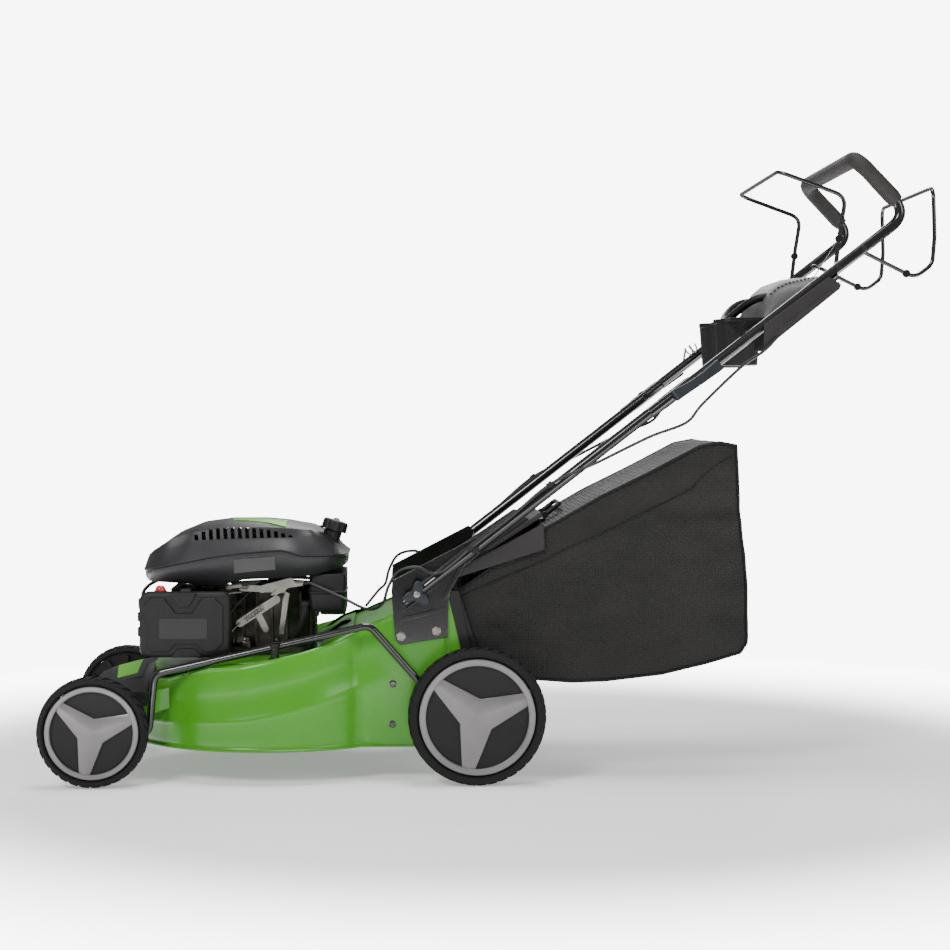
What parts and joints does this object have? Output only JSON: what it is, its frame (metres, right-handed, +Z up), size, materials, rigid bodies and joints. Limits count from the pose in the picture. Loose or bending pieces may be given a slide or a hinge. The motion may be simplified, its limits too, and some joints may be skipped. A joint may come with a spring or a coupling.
{
  "type": "push lawn mower",
  "caption": "Petrol walk-behind lawn mower with pressed steel deck, side-mounted wheels, folding tubular handle, control bails, console and rear grass bag.",
  "frame": {"origin": "bottom centre of the bounding box, on the ground midway between the front tyres' front and the drive bail's rear", "axes": "+X to the rear towards the operator, +Y to the mower's right, +Z up"},
  "size_m": [1.6731, 0.58, 1.1654],
  "materials": {
    "deck_paint": "gloss",
    "black_paint": "gloss",
    "engine_plastic": "satin",
    "console_plastic": "satin",
    "slate_plastic": "satin",
    "bright_steel": "zinc plated",
    "cast_alloy": "cast",
    "cable_sheath": "satin",
    "belt_rubber": "matt",
    "bag_fabric": "woven",
    "bag_plastic": "satin",
    "foam_grip": "foam",
    "bulb_rubber": "satin",
    "rope_fibre": "braided",
    "tyre_rubber": "matt",
    "wheel_plastic": "satin",
    "silver_trim": "metallic"
  },
  "bodies": {
    "chassis": {"deck_shell": "deck_paint", "front_trim": "engine_plastic", "handle_bracket_left": "black_paint", "handle_bracket_right": "black_paint", "bracket_bolts_left": "bright_steel", "bracket_bolts_right": "bright_steel", "flap_hinge_rod": "bright_steel", "engine_block": "cast_alloy", "fan_cowl": "engine_plastic", "fuel_tank": "engine_plastic", "air_filter_box": "engine_plastic", "carburettor": "cast_alloy", "muffler": "bright_steel", "spark_plug": "engine_plastic", "wash_port": "engine_plastic", "drive_belt": "belt_rubber"},
    "lower_handle": {"lower_handle_left": "black_paint", "lower_handle_right": "black_paint", "brake_cable": "cable_sheath", "drive_cable": "cable_sheath"},
    "upper_handle": {"upper_handle": "black_paint", "grip": "foam_grip", "console": "console_plastic", "cup_holders": "engine_plastic"},
    "stop_bail": {"stop_bail": "black_paint"},
    "drive_bail": {"drive_bail": "black_paint"},
    "cam_lever_left": {"cam_lever_left": "slate_plastic"},
    "cam_lever_right": {"cam_lever_right": "slate_plastic"},
    "star_knob_left": {"star_knob_left": "slate_plastic"},
    "star_knob_right": {"star_knob_right": "slate_plastic"},
    "rear_flap": {"rear_flap": "console_plastic"},
    "grass_bag": {"bag_body": "bag_fabric", "bag_frame": "bag_plastic"},
    "bag_handle": {"bag_handle": "bag_plastic"},
    "crankshaft": {"crankshaft": "bright_steel", "blade": "bright_steel", "blade_bolt": "bright_steel"},
    "front_crank": {"front_axle": "bright_steel"},
    "rear_crank": {"rear_axle": "bright_steel"},
    "height_link": {"height_link": "black_paint"},
    "gearbox": {"gearbox": "cast_alloy"},
    "fuel_cap": {"fuel_cap": "engine_plastic"},
    "filter_cover": {"air_filter_cover": "engine_plastic"},
    "primer_bulb": {"primer_bulb": "bulb_rubber"},
    "starter": {"starter_grip": "engine_plastic", "starter_rope": "rope_fibre"},
    "governor": {"governor_lever": "bright_steel"},
    "brake_lever": {"brake_lever": "bright_steel"},
    "front_left_wheel": {"front_left_tyre": "tyre_rubber", "front_left_hub": "wheel_plastic", "front_left_trim": "silver_trim"},
    "front_right_wheel": {"front_right_tyre": "tyre_rubber", "front_right_hub": "wheel_plastic", "front_right_trim": "silver_trim"},
    "rear_left_wheel": {"rear_left_tyre": "tyre_rubber", "rear_left_hub": "wheel_plastic", "rear_left_trim": "silver_trim"},
    "rear_right_wheel": {"rear_right_tyre": "tyre_rubber", "rear_right_hub": "wheel_plastic", "rear_right_trim": "silver_trim"}
  },
  "joints": [
    {"name": "height_adjust", "type": "hinge", "parent": "chassis", "child": "rear_crank", "pos_m": [-0.07397, 0, 0.1495], "axis": [0, -1, 0], "range_deg": [0, 60], "deforming": ["drive_belt"]},
    {"name": "front_crank_turn", "type": "hinge", "parent": "chassis", "child": "front_crank", "pos_m": [-0.69603, 0, 0.1241], "axis": [0, 1, 0], "range_deg": [0, 60]},
    {"name": "link_pin", "type": "hinge", "parent": "rear_crank", "child": "height_link", "pos_m": [-0.05397, -0.236, 0.18414], "axis": [0, 1, 0], "range_deg": [0, 60]},
    {"name": "gearbox_pivot", "type": "hinge", "parent": "rear_crank", "child": "gearbox", "pos_m": [-0.035, 0, 0.127], "axis": [0, 1, 0], "range_deg": [0, 60]},
    {"name": "front_left_wheel_spin", "type": "hinge", "parent": "front_crank", "child": "front_left_wheel", "pos_m": [-0.735, -0.2675, 0.1016], "axis": [0, 1, 0], "continuous": true},
    {"name": "front_right_wheel_spin", "type": "hinge", "parent": "front_crank", "child": "front_right_wheel", "pos_m": [-0.735, 0.2675, 0.1016], "axis": [0, 1, 0], "continuous": true},
    {"name": "rear_left_wheel_spin", "type": "hinge", "parent": "rear_crank", "child": "rear_left_wheel", "pos_m": [-0.035, -0.2675, 0.127], "axis": [0, 1, 0], "continuous": true},
    {"name": "rear_right_wheel_spin", "type": "hinge", "parent": "rear_crank", "child": "rear_right_wheel", "pos_m": [-0.035, 0.2675, 0.127], "axis": [0, 1, 0], "continuous": true},
    {"name": "blade_spin", "type": "hinge", "parent": "chassis", "child": "crankshaft", "pos_m": [-0.42, 0, 0.11], "axis": [0, 0, 1], "continuous": true},
    {"name": "lower_fold", "type": "hinge", "parent": "chassis", "child": "lower_handle", "pos_m": [-0.038, 0, 0.43088], "axis": [0, -1, 0], "range_deg": [0, 60], "deforming": ["brake_cable", "drive_cable"]},
    {"name": "upper_fold", "type": "hinge", "parent": "lower_handle", "child": "upper_handle", "pos_m": [0.33, 0, 0.71571], "axis": [0, -1, 0], "range_deg": [0, 110]},
    {"name": "stop_bail_squeeze", "type": "hinge", "parent": "upper_handle", "child": "stop_bail", "pos_m": [0.63, 0, 0.94791], "axis": [0, 1, 0], "range_deg": [0, 31], "stiffness_Nm_per_rad": 2, "springref_deg": -45.84},
    {"name": "drive_bail_squeeze", "type": "hinge", "parent": "upper_handle", "child": "drive_bail", "pos_m": [0.677, 0, 0.98429], "axis": [0, -1, 0], "range_deg": [0, 45], "stiffness_Nm_per_rad": 2, "springref_deg": -45.84},
    {"name": "cam_lever_left_flip", "type": "hinge", "parent": "upper_handle", "child": "cam_lever_left", "pos_m": [0.33, -0.271, 0.71571], "axis": [0.6121, 0, -0.7908], "range_deg": [0, 110]},
    {"name": "star_knob_left_turn", "type": "hinge", "parent": "lower_handle", "child": "star_knob_left", "pos_m": [-0.145, -0.239, 0.34806], "axis": [0, 1, 0], "continuous": true},
    {"name": "cam_lever_right_flip", "type": "hinge", "parent": "upper_handle", "child": "cam_lever_right", "pos_m": [0.33, 0.271, 0.71571], "axis": [-0.6121, 0, 0.7908], "range_deg": [0, 110]},
    {"name": "star_knob_right_turn", "type": "hinge", "parent": "lower_handle", "child": "star_knob_right", "pos_m": [-0.145, 0.239, 0.34806], "axis": [0, 1, 0], "continuous": true},
    {"name": "flap_lift", "type": "hinge", "parent": "chassis", "child": "rear_flap", "pos_m": [-0.079, 0, 0.378], "axis": [0, -1, 0], "range_deg": [0, 60], "stiffness_Nm_per_rad": 0.6, "springref_deg": -34.38},
    {"name": "bag_draw_off", "type": "slide", "parent": "chassis", "child": "grass_bag", "axis": [0.9683, 0, 0.2499], "range_m": [0, 0.45]},
    {"name": "bag_handle_lift", "type": "hinge", "parent": "grass_bag", "child": "bag_handle", "pos_m": [0.103, 0, 0.486], "axis": [0, -1, 0], "range_deg": [0, 70]},
    {"name": "fuel_cap_turn", "type": "hinge", "parent": "chassis", "child": "fuel_cap", "pos_m": [-0.30003, -0.06, 0.46626], "axis": [0.2924, 0, 0.9563], "range_deg": [0, 120]},
    {"name": "filter_cover_open", "type": "hinge", "parent": "chassis", "child": "filter_cover", "pos_m": [-0.574, -0.1724, 0.35], "axis": [-1, 0, 0], "range_deg": [0, 80]},
    {"name": "primer_press", "type": "slide", "parent": "chassis", "child": "primer_bulb", "axis": [0, 0, -1], "range_m": [0, 0.005], "stiffness_N_per_m": 400, "springref_m": -0.001},
    {"name": "starter_pull", "type": "slide", "parent": "chassis", "child": "starter", "axis": [1, 0, 0], "range_m": [0, 0.16], "stiffness_N_per_m": 60, "springref_m": -0.08},
    {"name": "governor_swing", "type": "hinge", "parent": "chassis", "child": "governor", "pos_m": [-0.408, -0.128, 0.35], "axis": [0, 1, 0], "range_deg": [-8, 8], "stiffness_Nm_per_rad": 0.5},
    {"name": "brake_lever_swing", "type": "hinge", "parent": "chassis", "child": "brake_lever", "pos_m": [-0.409, -0.12, 0.33], "axis": [0, 1, 0], "range_deg": [0, 16]}
  ],
  "couplings": [
    {"joint": "front_crank_turn", "follows": "height_adjust", "ratio": 1},
    {"joint": "link_pin", "follows": "height_adjust", "ratio": 1},
    {"joint": "gearbox_pivot", "follows": "height_adjust", "ratio": 1},
    {"joint": "brake_lever_swing", "follows": "stop_bail_squeeze", "ratio": 0.5}
  ]
}
